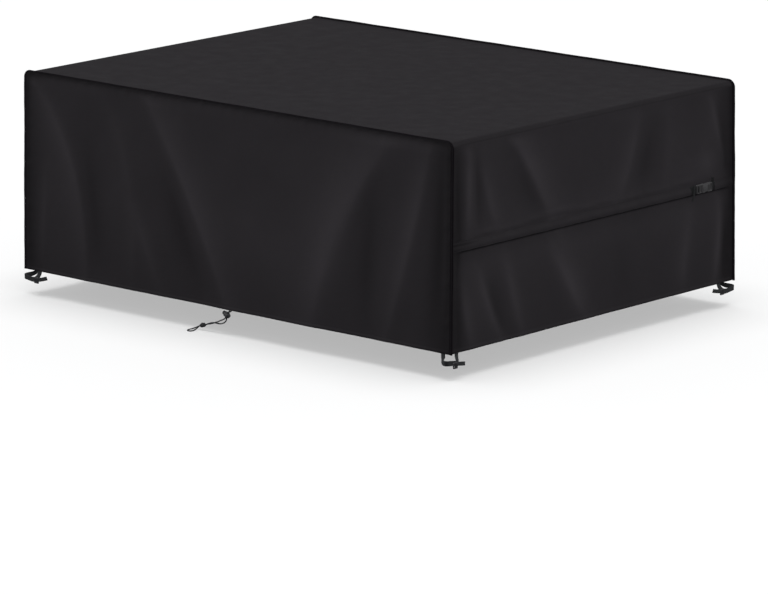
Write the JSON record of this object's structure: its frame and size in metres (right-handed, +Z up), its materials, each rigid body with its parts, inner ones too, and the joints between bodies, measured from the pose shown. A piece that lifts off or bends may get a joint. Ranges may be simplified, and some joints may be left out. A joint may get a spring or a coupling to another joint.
{
  "type": "patio furniture cover",
  "caption": "Fitted boxy rain cover for a patio table and chairs, with a bound top edge, a belt, corner straps and a hem drawcord.",
  "frame": {"origin": "middle of the flat underside of the top, where the furniture holds the cover up", "axes": "+X along the long sides to the end with the belt, +Z up, the drawcord on the -Y side"},
  "size_m": [2.0206, 1.5849, 0.809],
  "materials": {
    "cloth": "charcoal coated oxford weave, soft sheen",
    "binding": "black folded tape, ribbed",
    "webbing": "dark ribbed webbing",
    "buckle_plastic": "moulded grey plastic, satin",
    "black_plastic": "moulded black plastic",
    "cord": "black braided cord"
  },
  "bodies": {
    "cover": {"top_and_ends": "cloth", "front_side": "cloth", "back_side": "cloth", "front_binding": "binding", "back_binding": "binding", "belt_casing": "cloth", "belt_casing_end": "cloth", "belt": "webbing", "belt_anchor": "webbing", "belt_tail": "webbing", "belt_folded_end": "webbing", "belt_buckle_tongue": "buckle_plastic", "belt_buckle_socket": "buckle_plastic", "near_strap": "webbing", "near_strap_tail": "webbing", "near_strap_buckle": "black_plastic", "left_strap": "webbing", "left_strap_tail": "webbing", "left_strap_buckle": "black_plastic", "right_strap": "webbing", "right_strap_tail": "webbing", "right_strap_buckle": "black_plastic", "rear_strap": "webbing", "rear_strap_tail": "webbing", "rear_strap_buckle": "black_plastic", "cord_lock_barrel": "black_plastic", "drawcord_knot": "cord", "drawcord_strand_a": "cord", "drawcord_strand_b": "cord", "drawcord_loop": "cord"},
    "lock_button": {"cord_lock_button": "black_plastic"}
  },
  "joints": [
    {"name": "lock_button_press", "type": "slide", "parent": "cover", "child": "lock_button", "axis": [0.9, 0, -0.436], "range_m": [0, 0.004], "stiffness_N_per_m": 900, "springref_m": -0.003}
  ]
}
